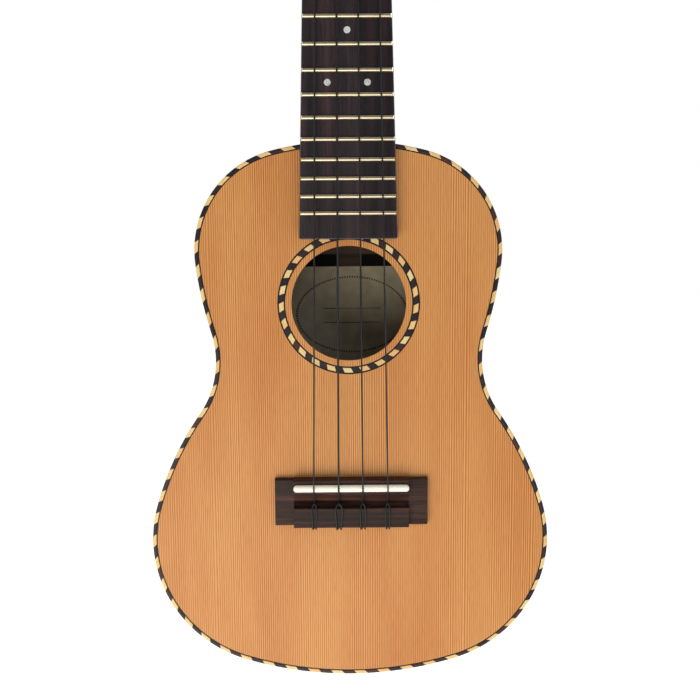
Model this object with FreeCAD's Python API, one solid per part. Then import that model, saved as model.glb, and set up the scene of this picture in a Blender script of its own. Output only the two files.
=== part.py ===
import FreeCAD, Part
import math
import os

from FreeCAD import Matrix, Placement, Rotation
from FreeCAD import Vector as V

# A four-string concert ukulele.  Millimetres, +Z from the tail to the head, -Y out of the
# soundboard towards the player's hand, +X to the treble side.  The origin is on the centre
# line where the fingerboard meets the nut, level with the face of the soundboard.

# ---- driving dimensions ----
scale_length = 380.0
fret_count = 18
body_tail_z = -482.5
# The half outline from the tail to the neck: (radius, turn in degrees), negative in the waist.
# One last arc closes it square to the centre line.
outline_arcs = [(180.8, 17.4), (66.4, 88.8), (160.6, 19.0), (47.1, -51.8), (198.6, 10.0), (50.5, 82.5)]
depth_neck_end = 64.0
depth_tail = 70.0
body_length = 271.8

top_thickness = 2.0
back_thickness = 2.5
side_thickness = 2.0
binding_width = 1.85
binding_height = 4.0
purfling_width = 0.6
inlay_depth = 1.2
lining_inset = 7.5
lining_height = 12.0
block_length = 16.0
block_half_width = 24.0

hole_z = -289.7
hole_radius = 28.4
rosette_inner = 31.4
rosette_outer = 35.3
rosette_line = 0.8

nut_width = 35.0
nut_thickness = 4.5
board_length = 258.0
board_end_width = 47.8
board_thickness = 6.0
board_corner = 1.0
fret_height = 1.2
fret_half_width = 1.05
tang_width = 0.5
tang_depth = 1.7
marker_radius = 1.6
marker_spread = 9.5

neck_depth_nut = 13.0
neck_depth_body = 16.0
heel_foot = 61.3
heel_cap_thickness = 2.5
bolt_depth = 28.0

head_tilt = 13.0
head_length = 126.0
head_thickness = 13.0
head_start_z = 5.0
veneer_thickness = 2.0

# The bridge is glued a little to the treble side of the centre line.
bridge_x = 0.65
bridge_top_z = -377.4
bridge_bottom_z = -402.2
bridge_half_width = 28.9
bridge_wing = 38.4
bridge_height = 6.1
saddle_z = -381.6
saddle_thickness = 3.1
saddle_round = 1.4
saddle_half_length = 28.9
saddle_top = 9.0
tie_hole_depth = 2.5
tie_hole_radius = 0.8

# Strings from the bass side: diameter, and place across the nut and the saddle.
string_diameters = [0.75, 0.95, 0.85, 0.75]
nut_spread = 26.3
saddle_places = [-18.0, -5.65, 6.4, 18.85]
string_at_nut = 7.9
# Half spread of each tie loop, at the front and at the rear of the tie block.
loop_front = [1.2, 1.8, 1.4, 1.2]
loop_rear = [0.85, 1.15, 1.1, 0.85]

# Tuning machines: two a side, posts given from the head's centre line and its lower end.
post_x = 19.5
post_heights = [38.0, 80.0]
post_radius = 3.0
running_gap = 0.05
plate_thickness = 1.0
gear_teeth = 14
gear_module = 0.65
gear_root = 3.75
gear_tip = 5.2
gear_face = 2.2
worm_root = 1.3
worm_crest = 2.75
worm_centre = 6.65
worm_level = head_thickness + plate_thickness + 3.2
ear_offset = 4.0
ear_thickness = 1.2
journal_radius = 1.25
button_start = 34.0
button_length = 13.0
button_half_height = 7.0
button_thickness = 6.5
winding_radius = 3.5
winding_level = -5.6

back_slope = (depth_tail - depth_neck_end) / body_length
neck_end_z = body_tail_z + body_length
far = 400.0


def fret_distance(number):
    return scale_length * (1.0 - 2.0 ** (-number / 12.0))


def board_half_width(z):
    return 0.5 * (nut_width + (board_end_width - nut_width) * (-z / board_length))


def save(node, *solids):
    shape = solids[0] if len(solids) == 1 else Part.makeCompound(list(solids))
    shape.exportStep("parts/" + node + ".step")
    print(node, len(shape.Solids), round(shape.Volume, 2), shape.isValid())


def box(x0, x1, y0, y1, z0, z1):
    return Part.makeBox(x1 - x0, y1 - y0, z1 - z0, V(x0, y0, z0))


def rod(start, end, radius):
    axis = end - start
    return Part.makeCylinder(radius, axis.Length, start, axis)


def prism(points, axis, low, high):
    """A polygon given in the two axes other than the named one, extruded between two levels."""
    place = {"x": lambda p: V(low, p[0], p[1]), "y": lambda p: V(p[0], low, p[1]), "z": lambda p: V(p[0], p[1], low)}
    run = {"x": V(high - low, 0, 0), "y": V(0, high - low, 0), "z": V(0, 0, high - low)}
    corners = [place[axis](p) for p in points]
    return Part.Face(Part.makePolygon(corners + corners[:1])).extrude(run[axis])


# ---- body outline ----
def half_outline(inset, side, y):
    """Tangent arcs from the tail to the neck; an inset changes only their radii."""
    x, z, heading = 0.0, body_tail_z + inset, 0.0
    edges = []

    def arc(radius, turn):
        nonlocal x, z, heading
        sign = 1.0 if turn > 0 else -1.0

        def at(angle):
            return V(
                side * (x + sign * radius * (math.sin(heading + angle) - math.sin(heading))),
                y,
                z + sign * radius * (math.cos(heading) - math.cos(heading + angle)),
            )

        edges.append(Part.Arc(at(0.0), at(turn / 2.0), at(turn)).toShape())
        end = at(turn)
        x, z, heading = side * end.x, end.z, heading + turn

    for radius, degrees in outline_arcs:
        arc(radius - math.copysign(inset, degrees), math.radians(degrees))
    last = math.pi - heading
    arc(x / math.sin(last), last)
    return edges


def plate(inset, y0, y1):
    """A solid of the body's outline, inset, between two levels."""
    right = half_outline(inset, 1.0, y0)
    left = half_outline(inset, -1.0, y0)
    return Part.Face(Part.Wire(right + left[::-1])).extrude(V(0, y1 - y0, 0))


def ring(outer_inset, inner_inset, y0, y1):
    return plate(outer_inset, y0, y1).cut(plate(inner_inset, y0 - 1, y1 + 1))


def back_layer(inner, outer):
    """The space between two levels counted from the face of the back, negative towards the top."""
    def level(z, offset):
        return depth_neck_end + back_slope * (neck_end_z - z) + offset

    low, high = body_tail_z - 20.0, neck_end_z + 20.0
    points = [(level(low, inner), low), (level(low, outer), low), (level(high, outer), high), (level(high, inner), high)]
    return prism(points, "x", -far, far)


def halves(shape):
    """The bass and treble halves of a body piece."""
    bass = shape.common(box(-far, 0, -far, far, -far * 2, far))
    treble = shape.common(box(0, far, -far, far, -far * 2, far))
    return bass, treble


os.makedirs("parts", exist_ok=True)
deep = 90.0
under_top = top_thickness
hole_centre = V(0, 0, hole_z)


def disc(radius, y0, y1):
    return Part.makeCylinder(radius, y1 - y0, V(0, y0, hole_z), V(0, 1, 0))


# ---- box of the body ----
binding_front = ring(0.0, binding_width, 0.0, binding_height)
binding_rear = ring(0.0, binding_width, 40.0, deep).common(back_layer(-binding_height, 0.0))
purfling = ring(binding_width, binding_width + purfling_width, 0.0, inlay_depth)
rosette_channel = disc(rosette_outer, 0.0, inlay_depth).cut(disc(rosette_inner, 0.0, inlay_depth))

soundboard = plate(binding_width, 0.0, top_thickness).cut(disc(hole_radius, -1.0, top_thickness + 1.0))
soundboard = soundboard.cut(rosette_channel).cut(purfling)
save("soundboard", soundboard)
save("back_plate", plate(binding_width, 40.0, deep).common(back_layer(-back_thickness, 0.0)))
save("binding_top", *halves(binding_front))
save("binding_back", *halves(binding_rear))

line_in = disc(rosette_inner + rosette_line, 0.0, inlay_depth).cut(disc(rosette_inner, 0.0, inlay_depth))
line_out = disc(rosette_outer, 0.0, inlay_depth).cut(disc(rosette_outer - rosette_line, 0.0, inlay_depth))
save("purfling_lines", *halves(purfling), line_in, line_out)
save("rosette_rope", rosette_channel.cut(line_in).cut(line_out))

bolt_hole = rod(V(0, bolt_depth, neck_end_z - 40), V(0, bolt_depth, neck_end_z + 2), 3.2)
graft_space = box(-4.0, 4.0, 0, deep, body_tail_z - 5, body_tail_z + 10)
sides = ring(0.0, side_thickness, binding_height, deep).common(back_layer(-deep, -binding_height))
save("end_graft", sides.common(graft_space))
side_bass, side_treble = halves(sides.cut(graft_space).cut(bolt_hole))
save("side_bass", side_bass)
save("side_treble", side_treble)

inner_body = plate(side_thickness, under_top, deep).common(back_layer(-deep, -back_thickness))
inner_body = inner_body.cut(binding_front).cut(binding_rear)
neck_block_space = box(-block_half_width, block_half_width, 0, deep, neck_end_z - side_thickness - block_length, far)
tail_block_space = box(-block_half_width, block_half_width, 0, deep, -far * 2, body_tail_z + side_thickness + 12.0)
save("neck_block", inner_body.common(neck_block_space).cut(bolt_hole))
save("tail_block", inner_body.common(tail_block_space))
lining = inner_body.cut(plate(lining_inset, -1, deep + 1)).cut(neck_block_space).cut(tail_block_space)
top_lining = lining.common(box(-far, far, 0, under_top + lining_height, -far * 2, far))
back_lining = lining.common(back_layer(-back_thickness - lining_height, 0.0))


# ---- bracing ----
def top_brace(half_length, z, width, height):
    """A cross brace with its ends carved down to a third."""
    top, low = under_top, under_top + height / 3.0
    points = [(-half_length, top), (half_length, top), (half_length, low), (half_length - 18, top + height)]
    points += [(-half_length + 18, top + height), (-half_length, low)]
    return prism(points, "z", z - width / 2.0, z + width / 2.0)


cross_braces = [top_brace(62.0, -244.0, 6.0, 9.0), top_brace(60.0, -336.0, 6.0, 9.0)]
save("top_cross_braces", *cross_braces)
for brace in cross_braces:
    top_lining = top_lining.cut(brace)
save("top_linings", *halves(top_lining))
save("soundhole_ring", disc(38.0, under_top, under_top + 1.6).cut(disc(29.5, 0.0, 9.0)))
patch = box(bridge_x - 42.0, bridge_x + 42.0, under_top, under_top + 1.8, bridge_bottom_z - 3.0, bridge_top_z + 3.0)
save("bridge_patch", patch)
fan = []
for foot_x, angle in [(0.0, 0.0), (-22.0, -8.0), (22.0, 8.0)]:
    strip = box(-2.5, 2.5, under_top, under_top + 6.0, -104.0, 0.0)
    strip.Placement = Placement(V(foot_x, 0, -344.0), Rotation(V(0, 1, 0), angle))
    fan.append(strip.cut(patch))
save("fan_braces", *fan)

brace_layer = back_layer(-back_thickness - 9.0, -back_thickness)
brace_places = [(-262.5, 64.0), (-345.0, 66.0), (-425.0, 88.0)]
back_braces = [
    box(-half, half, 30, deep, z - 4.0, z + 4.0).common(brace_layer) for z, half in brace_places
]
save("back_braces", *back_braces)
# The ends of the back braces are let into the linings.
for brace in back_braces:
    back_lining = back_lining.cut(brace)
save("back_linings", *halves(back_lining))
label_top, label_bottom, label_half_width = -273.4, -329.0, 40.0
strip_layer = back_layer(-back_thickness - 1.5, -back_thickness)
strip_spans = [(-228.8, -258.5), (-266.5, label_top), (label_bottom, -341.0), (-349.0, -421.0), (-429.0, -467.0)]
save("back_centre_strip", *[box(-6.3, 6.3, 30, deep, low, high).common(strip_layer) for high, low in strip_spans])
label = box(-label_half_width, label_half_width, 30, deep, label_bottom, label_top)
save("label", label.common(back_layer(-back_thickness - 0.2, -back_thickness)))


# ---- neck ----
def half_oval(half_width, reach):
    """A half oval, flat along X and bulging to +Y, at z = 0."""
    rim = Part.makeCircle(1.0, V(0, 0, 0), V(0, 0, 1), 0, 180)
    flat = Part.makeLine(V(-1, 0, 0), V(1, 0, 0))
    stretch = Matrix()
    stretch.scale(half_width, reach, 1.0)
    return Part.Wire([rim, flat]).transformGeometry(stretch)


def neck_section(z, half_width, reach):
    wire = half_oval(half_width, reach)
    wire.translate(V(0, 0, z))
    return wire


def heel_section(y, half_width, reach):
    wire = half_oval(half_width, reach)
    wire.rotate(V(0, 0, 0), V(1, 0, 0), 90)
    wire.translate(V(0, y, heel_root_z))
    return wire


heel_root_z = neck_end_z - 6.0
shaft_ends = [
    neck_section(head_start_z, board_half_width(head_start_z), neck_depth_nut),
    neck_section(heel_root_z, board_half_width(heel_root_z), neck_depth_body),
]
shaft = Part.makeLoft(shaft_ends, True, True)
heel_levels = [(3.0, 22.0, 66.0), (12.0, 21.2, 44.0), (24.0, 18.6, 27.0), (40.0, 15.8, 21.0), (heel_foot, 14.2, 19.5)]
heel = Part.makeLoft([heel_section(*level) for level in heel_levels], True, False)
body_space = plate(0.0, -20.0, deep)
insert_start = neck_end_z - 0.02
insert_hole = rod(V(0, bolt_depth, insert_start - 4), V(0, bolt_depth, insert_start + 10.0), 4.5)
neck = shaft.fuse(heel).removeSplitter().cut(body_space).cut(insert_hole)
save("neck", neck)

cap = Part.Face(heel_section(heel_foot, 14.2, 19.5)).extrude(V(0, heel_cap_thickness, 0)).cut(body_space)
save("heel_cap", cap)

bolt_start = neck_end_z - side_thickness - block_length
bolt = rod(V(0, bolt_depth, bolt_start - 1.2), V(0, bolt_depth, insert_start + 8.0), 3.0)
bolt_head = rod(V(0, bolt_depth, bolt_start - 6.7), V(0, bolt_depth, bolt_start - 1.2), 5.0)
hex_points = [(2.9 * math.cos(math.radians(60 * k)), bolt_depth + 2.9 * math.sin(math.radians(60 * k))) for k in range(6)]
bolt = bolt.fuse(bolt_head).cut(prism(hex_points, "z", bolt_start - 8, bolt_start - 3.5))
washer = rod(V(0, bolt_depth, bolt_start - 1.2), V(0, bolt_depth, bolt_start), 7.0)
washer = washer.cut(rod(V(0, bolt_depth, bolt_start - 2), V(0, bolt_depth, bolt_start + 1), 3.0))
save("neck_bolt", bolt.removeSplitter(), washer)
insert = rod(V(0, bolt_depth, insert_start + 0.5), V(0, bolt_depth, insert_start + 10.0), 4.5)
save("neck_insert", insert.cut(rod(V(0, bolt_depth, insert_start), V(0, bolt_depth, insert_start + 8.0), 3.0)))

# ---- fingerboard ----
end_half = board_half_width(-board_length)
board = prism(
    [(-nut_width / 2, 0.0), (nut_width / 2, 0.0), (end_half, -board_length), (-end_half, -board_length)],
    "y",
    -board_thickness,
    0.0,
)
corners = [e for e in board.Edges if abs(e.CenterOfMass.z + board_length) < 0.1 and abs(e.CenterOfMass.x) > 5]
board = board.makeFillet(board_corner, corners)
rims = [
    e
    for e in board.Edges
    if abs(e.CenterOfMass.y + board_thickness) < 0.01 and e.CenterOfMass.z < -1.0
]
board = board.makeFillet(0.5, rims)

frets = []
for number in range(1, fret_count + 1):
    z = -fret_distance(number)
    half = board_half_width(z) - 0.25
    crown_top = board_thickness + fret_height
    seat = Part.makeLine(V(0, -board_thickness, z - fret_half_width), V(0, -board_thickness, z + fret_half_width))
    crown = Part.Arc(seat.Vertexes[1].Point, V(0, -crown_top, z), seat.Vertexes[0].Point).toShape()
    bar = Part.Face(Part.Wire([seat, crown])).extrude(V(2 * half, 0, 0))
    bar.translate(V(-half, 0, 0))
    bevel = [(-half, -board_thickness), (half, -board_thickness), (half - 0.5, -crown_top), (-half + 0.5, -crown_top)]
    bar = bar.common(prism(bevel, "z", z - 3, z + 3))
    slot = box(-half, half, -board_thickness, -board_thickness + tang_depth, z - tang_width / 2, z + tang_width / 2)
    board = board.cut(slot)
    frets.append(bar.fuse(slot).removeSplitter())
save("frets", *frets)

markers = []
for number in (5, 7, 10, 12):
    z = -0.5 * (fret_distance(number) + fret_distance(number - 1))
    for x in (-marker_spread, marker_spread) if number == 12 else (0.0,):
        face_dot = rod(V(x, -board_thickness, z), V(x, -board_thickness + 1.2, z), marker_radius)
        markers.append(face_dot)
    edge_x = -board_half_width(z)
    side_dot = rod(V(edge_x - 1.0, -3.0, z), V(edge_x + 2.0, -3.0, z), 1.0)
    markers.append(side_dot.common(board))
for dot in markers:
    board = board.cut(dot)
save("position_markers", *markers)
save("fingerboard", board)


# ---- head ----
def tilted(shape):
    """Moves a piece from the head's own upright axes to its place on the tilted head."""
    copy = shape.copy()
    copy.rotate(V(0, 0, 0), V(1, 0, 0), -head_tilt)
    copy.translate(V(0, 0, head_start_z))
    return copy


def head_outline(y0, y1):
    """A plain flared head with a gently arched top, in the head's own axes."""
    shoulder = [V(board_half_width(0.0), 0, -12.0), V(board_half_width(0.0), 0, 3.0)]
    neck_curve = Part.Arc(shoulder[1], V(20.0, 0, 18.5), V(27.6, 0, 28.5)).toShape()
    flare = Part.Arc(V(27.6, 0, 28.5), V(30.4, 0, 34.0), V(31.0, 0, 42.0)).toShape()
    edge = Part.makeLine(V(31.0, 0, 42.0), V(31.0, 0, head_length - 14.0))
    corner = Part.Arc(V(31.0, 0, head_length - 14.0), V(29.2, 0, head_length - 7.4), V(23.5, 0, head_length - 4.0)).toShape()
    crown = Part.Arc(V(23.5, 0, head_length - 4.0), V(12.0, 0, head_length - 1.0), V(0, 0, head_length)).toShape()
    right = [Part.makeLine(shoulder[0], shoulder[1]), neck_curve, flare, edge, corner, crown]
    flip = Matrix()
    flip.scale(-1.0, 1.0, 1.0)
    left = [e.transformGeometry(flip) for e in right]
    base = Part.makeLine(V(-board_half_width(0.0), 0, -12.0), shoulder[0])
    shape = Part.Face(Part.Wire(Part.__sortEdges__([base] + right + left))).extrude(V(0, y1 - y0, 0))
    shape.translate(V(0, y0, 0))
    return shape


def post_axis(x, height, y0, y1, radius):
    return rod(V(x, y0, height), V(x, y1, height), radius)


post_places = [(-post_x, post_heights[0]), (-post_x, post_heights[1]), (post_x, post_heights[1]), (post_x, post_heights[0])]
sleeve_end = 8.0
screw_offsets = [7.7, -13.4]
screw_radius = 0.9

slab = head_outline(0.0, head_thickness)
veneer = head_outline(-veneer_thickness, 0.0)
for x, height in post_places:
    slab = slab.cut(post_axis(x, height, -1, sleeve_end, 4.0))
    slab = slab.cut(post_axis(x, height, sleeve_end - 1, head_thickness + 1, 3.3))
    veneer = veneer.cut(post_axis(x, height, -veneer_thickness - 1, 1, 4.0))
    for offset in screw_offsets:
        slab = slab.cut(post_axis(x, height + offset, head_thickness - 8.0, head_thickness + 1, screw_radius))
# The back of the head grows out of the rounded neck: a cone of the neck's own section.
root_half = board_half_width(head_start_z)
cone_sections = [(head_start_z, 1.0), (head_start_z + 150.0, 12.0)]
cone_wires = []
for z, growth in cone_sections:
    arc = half_oval(root_half * growth, neck_depth_nut * growth).Edges[0]
    ends = sorted([v.Point for v in arc.Vertexes], key=lambda p: p.x)
    front_left, front_right = ends[0] + V(0, -30, 0), ends[1] + V(0, -30, 0)
    lines = [Part.makeLine(ends[0], front_left), Part.makeLine(front_left, front_right), Part.makeLine(front_right, ends[1])]
    wire = Part.Wire(Part.__sortEdges__([arc] + lines))
    wire.translate(V(0, 0, z))
    cone_wires.append(wire)
cone = Part.makeLoft(cone_wires, True, True)
above_nut = box(-far, far, -far, far, head_start_z, far)
save("headstock", tilted(slab).common(cone).common(above_nut))
save("headstock_veneer", tilted(veneer).common(box(-far, far, -far, far, nut_thickness, far)))


# ---- strings ----
def rounded_path(points, largest):
    """Straight runs joined by tangent arcs, each as large as its runs allow up to a limit."""
    edges, start = [], points[0]
    for before, corner, after in zip(points, points[1:], points[2:]):
        back, ahead = before - corner, after - corner
        turn = math.pi - back.getAngle(ahead)
        if turn < 0.01:
            continue
        radius = min(largest, 0.45 * min(back.Length, ahead.Length) / math.tan(turn / 2.0))
        trim = radius * math.tan(turn / 2.0)
        first = corner + back.normalize() * trim
        last = corner + ahead.normalize() * trim
        bisector = (back + ahead).normalize()
        middle = corner + bisector * (radius / math.cos(turn / 2.0) - radius)
        edges.append(Part.makeLine(start, first))
        edges.append(Part.Arc(first, middle, last).toShape())
        start = last
    edges.append(Part.makeLine(start, points[-1]))
    return Part.Wire(edges)


def tube(points, radius, largest):
    path = rounded_path(points, largest)
    section = Part.Wire(Part.makeCircle(radius, points[0], points[1] - points[0]))
    solid = path.makePipeShell([section], True, False)
    print("  tube", round(solid.Volume / (math.pi * radius * radius * path.Length), 4), "of section times length")
    return solid


def head_point(x, y, height):
    """A point on the head, given in its own upright axes."""
    angle = math.radians(head_tilt)
    return V(
        x,
        y * math.cos(angle) + height * math.sin(angle),
        head_start_z - y * math.sin(angle) + height * math.cos(angle),
    )


string_cutters = []
saddle_break = 0.65
block_front = bridge_bottom_z + 10.0
for index, diameter in enumerate(string_diameters):
    radius = diameter / 2.0
    place = index / 3.0 - 0.5
    nut_x, saddle_x = nut_spread * place, saddle_places[index]
    post, height = post_places[index]
    side = math.copysign(1.0, post)
    tangent_x = post - side * winding_radius
    arrival = head_point(tangent_x, winding_level, height)
    at_nut = V(nut_x, -string_at_nut, 1.5)
    stop = arrival + (at_nut - arrival).normalize() * 3.4
    over_saddle = V(saddle_x, -saddle_top - radius - 0.06, saddle_z - saddle_break)
    over_block = -bridge_height - radius - 0.1
    behind = bridge_bottom_z - radius - 0.2
    front, rear = loop_front[index], loop_rear[index]
    points = [
        stop,
        at_nut,
        over_saddle,
        V(saddle_x, -tie_hole_depth, block_front),
        V(saddle_x, -tie_hole_depth, behind - 0.3),
        V(saddle_x - rear, over_block - 0.3, behind - 0.1),
        V(saddle_x - front, over_block, block_front - 1.0),
        V(saddle_x - 0.6, over_block + 0.5, block_front + 2.2),
        V(saddle_x + 0.6, over_block + 0.5, block_front + 2.2),
        V(saddle_x + front, over_block, block_front - 1.0),
        V(saddle_x + rear, over_block - 0.3, behind - 0.1),
        V(saddle_x + rear - 0.2, over_block + 2.6, behind - 0.2),
    ]
    save("string_" + str(index + 1), tube(points, radius, 1.6))
    onward = at_nut + (arrival - at_nut).normalize() * 8.0
    fingerward = at_nut + (over_saddle - at_nut).normalize() * 6.0
    string_cutters.append(tube([fingerward, at_nut, onward], radius + 0.05, 1.0))
    string_cutters.append(box(nut_x - radius - 0.05, nut_x + radius + 0.05, -20, -string_at_nut, -2, 8))

# ---- nut, saddle and bridge ----
nut_points = [(0.0, 0.0), (-8.3, 0.0), (-8.5, 0.4), (-8.4, 1.6), (-7.4, nut_thickness), (0.0, nut_thickness)]
nut = prism(nut_points, "x", -nut_width / 2, nut_width / 2)
for cutter in string_cutters:
    nut = nut.cut(cutter)
save("nut", nut)

saddle_floor = 2.2
straight = saddle_half_length - saddle_thickness / 2.0
left, right = bridge_x - straight, bridge_x + straight
saddle = box(left, right, -saddle_top, -saddle_floor, saddle_z - saddle_thickness / 2, saddle_z + saddle_thickness / 2)
for x in (left, right):
    saddle = saddle.fuse(rod(V(x, -saddle_top, saddle_z), V(x, -saddle_floor, saddle_z), saddle_thickness / 2))
saddle = saddle.removeSplitter()
saddle_slot = saddle.copy()
saddle = saddle.makeFillet(saddle_round, [e for e in saddle.Edges if abs(e.CenterOfMass.y + saddle_top) < 0.01])
save("saddle", saddle)


def outline_face(steps):
    """A closed outline in the YZ plane: ("line", point) or ("arc", through, point)."""
    start = V(0, *steps[0])
    edges, here = [], start
    for kind, *targets in steps[1:]:
        goal = V(0, *targets[-1])
        if kind == "arc":
            edges.append(Part.Arc(here, V(0, *targets[0]), goal).toShape())
        else:
            edges.append(Part.makeLine(here, goal))
        here = goal
    edges.append(Part.makeLine(here, start))
    return Part.Face(Part.Wire(edges))


top, low, rise = bridge_top_z, bridge_bottom_z, -bridge_height
centre = outline_face(
    [
        (0.0, top),
        ("line", (rise + 0.9, top)),
        ("arc", (rise + 0.26, top - 0.26), (rise, top - 0.9)),
        ("line", (rise, saddle_z - 2.6)),
        ("line", (-1.7, block_front + 1.6)),
        ("arc", (-1.5, block_front + 0.9), (-1.6, block_front)),
        ("line", (rise + 0.4, block_front)),
        ("arc", (rise + 0.12, block_front - 0.12), (rise, block_front - 0.4)),
        ("line", (rise, low + 0.7)),
        ("arc", (rise + 0.2, low + 0.2), (rise + 0.7, low)),
        ("line", (0.0, low)),
    ]
).extrude(V(2 * bridge_half_width, 0, 0))
centre.translate(V(-bridge_half_width, 0, 0))
wing_rise = -3.1
wings = outline_face(
    [
        (0.0, top - 0.2),
        ("line", (wing_rise + 0.8, top - 0.2)),
        ("arc", (wing_rise + 0.24, top - 0.44), (wing_rise, top - 1.0)),
        ("line", (wing_rise, low + 1.3)),
        ("arc", (wing_rise + 0.24, low + 0.74), (wing_rise + 0.8, low + 0.5)),
        ("line", (0.0, low + 0.5)),
    ]
).extrude(V(2 * bridge_wing, 0, 0))
wings.translate(V(-bridge_wing, 0, 0))
bridge = centre.fuse(wings.cut(box(-bridge_half_width, bridge_half_width, -far, far, -far * 2, far)))
bridge.translate(V(bridge_x, 0, 0))
bridge = bridge.removeSplitter().cut(saddle_slot)
for x in saddle_places:
    y = -tie_hole_depth
    bridge = bridge.cut(rod(V(x, y, low - 1), V(x, y, block_front + 0.8), tie_hole_radius))
save("bridge", bridge)

# ---- tuning machines ----
lead = math.pi * gear_module


def thread(x, height):
    """One right-hand worm thread, its groove facing the gear at the middle."""
    helix = Part.makeHelix(lead, 4 * lead, (worm_root + worm_crest) / 2)
    root, crest = 0.45, 0.225
    mid, deep_root = (worm_root + worm_crest) / 2, worm_root - 0.2
    slant = root + (root - crest) * 0.2 / (worm_crest - worm_root)
    corners = [V(deep_root, 0, -slant), V(worm_crest, 0, -crest), V(worm_crest, 0, crest), V(deep_root, 0, slant)]
    profile = Part.makePolygon(corners + corners[:1])
    coil = Part.Wire(helix).makePipeShell([profile], True, True)
    coil.rotate(V(0, 0, 0), V(0, 1, 0), 90)
    coil.translate(V(x - 2 * lead, worm_level, height - worm_centre))
    return coil


def worm(x, height, side):
    z = height - worm_centre

    def turned(start, end, radius):
        return rod(V(x + side * start, worm_level, z), V(x + side * end, worm_level, z), radius)

    core = turned(-3.3, 3.3, worm_root)
    coil = thread(x, height).common(turned(-3.3, 3.3, worm_crest + 1.0))
    shape = core.fuse(coil)
    ear_end = ear_offset + ear_thickness
    collar = ear_offset - 0.12
    for start, end, radius in [
        (-collar, -3.3, 2.0),
        (3.3, collar, 2.0),
        (-ear_end - 0.12, -collar, journal_radius),
        (-ear_end - 0.9, -ear_end - 0.12, 1.9),
        (collar, ear_end + 0.12, journal_radius),
        (ear_end + 0.12, ear_end + 1.2, 1.9),
        (ear_end + 1.2, button_start - post_x + 9.0, 1.4),
    ]:
        shape = shape.fuse(turned(start, end, radius))
    return shape.removeSplitter()


def button(x, height, side):
    """A flat oval finger button with a short neck."""
    z = height - worm_centre
    middle = button_start + button_length / 2 + 1.0
    stretch = Matrix()
    stretch.scale(button_length / 2, 1.0, button_half_height)
    oval = Part.makeCylinder(1.0, button_thickness, V(0, -button_thickness / 2, 0), V(0, 1, 0)).transformGeometry(stretch)
    oval = oval.makeFillet(2.6, [e for e in oval.Edges if abs(e.CenterOfMass.y) > 2.0])
    oval.translate(V(side * middle, worm_level, z))
    neck_piece = rod(V(side * button_start, worm_level, z), V(side * (button_start + 4.0), worm_level, z), 2.9)
    bore = rod(V(side * (button_start - 1), worm_level, z), V(side * (button_start + 9.0), worm_level, z), 1.4)
    return oval.fuse(neck_piece).removeSplitter().cut(bore)


def gear(x, height):
    points = []
    for tooth in range(gear_teeth):
        centre_angle = -math.pi / 2 + 2 * math.pi * tooth / gear_teeth
        for radius, half in ((gear_root, -0.45), (gear_tip, -0.21), (gear_tip, 0.21), (gear_root, 0.45)):
            angle = centre_angle + half / radius
            points.append((x + radius * math.cos(angle), height + radius * math.sin(angle)))
    low_face = worm_level - gear_face / 2
    wheel = prism(points, "y", low_face, low_face + gear_face)
    return wheel.cut(post_axis(x, height, low_face - 1, low_face + gear_face + 1, 1.6))


def post(x, height):
    low_face = worm_level - gear_face / 2
    shaft_piece = post_axis(x, height, -11.5, head_thickness + plate_thickness, post_radius)
    shaft_piece = shaft_piece.makeFillet(0.8, [e for e in shaft_piece.Edges if abs(e.CenterOfMass.y + 11.5) < 0.01])
    shaft_piece = shaft_piece.fuse(post_axis(x, height, head_thickness + plate_thickness, low_face, 2.6))
    shaft_piece = shaft_piece.fuse(post_axis(x, height, low_face, low_face + gear_face, 1.6)).removeSplitter()
    shaft_piece = shaft_piece.cut(post_axis(x, height, low_face - 2.0, low_face + gear_face + 1, 0.8))
    string_hole = rod(V(x - 5, string_hole_level, height), V(x + 5, string_hole_level, height), 0.8)
    return shaft_piece.cut(string_hole)


def gear_screw(x, height):
    seat = worm_level + gear_face / 2
    head_piece = post_axis(x, height, seat, seat + 1.4, 2.2)
    head_piece = head_piece.makeFillet(0.6, [e for e in head_piece.Edges if abs(e.CenterOfMass.y - seat - 1.4) < 0.01])
    screw = head_piece.fuse(post_axis(x, height, seat - 3.6, seat, 0.8)).removeSplitter()
    return screw.cut(box(x - 3, x + 3, seat + 0.9, seat + 2, height - 0.25, height + 0.25))


def winding(x, height, diameter):
    """Three turns round the post and the end that goes through it."""
    radius = diameter / 2.0
    major = post_radius + radius + 0.01
    turns = [
        Part.makeTorus(major, radius, V(x, winding_level - turn * diameter * 1.04, height), V(0, 1, 0)) for turn in range(3)
    ]
    through = rod(V(x - 5.2, string_hole_level, height), V(x + 4.6, string_hole_level, height), min(radius, 0.75))
    return turns + [through]


string_hole_level = -9.4


def tuner_plate(x, height):
    z0, z1 = height - 16.4, height + 10.4
    sheet = box(x - 4.9, x + 4.9, head_thickness, head_thickness + plate_thickness, z0, z1)
    sheet = sheet.makeFillet(3.0, [e for e in sheet.Edges if abs(e.tangentAt(e.FirstParameter).y) > 0.9])
    for side in (-1, 1):
        inner, outer = x + side * ear_offset, x + side * (ear_offset + ear_thickness)
        low_x, high_x = min(inner, outer), max(inner, outer)
        z = height - worm_centre
        upright = box(low_x, high_x, head_thickness, worm_level, z - 2.6, z + 2.6)
        round_top = rod(V(low_x, worm_level, z), V(high_x, worm_level, z), 2.6)
        sheet = sheet.fuse(upright).fuse(round_top)
    sheet = sheet.removeSplitter()
    sheet = sheet.cut(rod(V(x - 9, worm_level, height - worm_centre), V(x + 9, worm_level, height - worm_centre), worm_root))
    sheet = sheet.cut(post_axis(x, height, 0, 30, post_radius + running_gap))
    for offset in screw_offsets:
        sheet = sheet.cut(post_axis(x, height + offset, 0, 30, screw_radius + 0.2))
    return sheet


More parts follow.
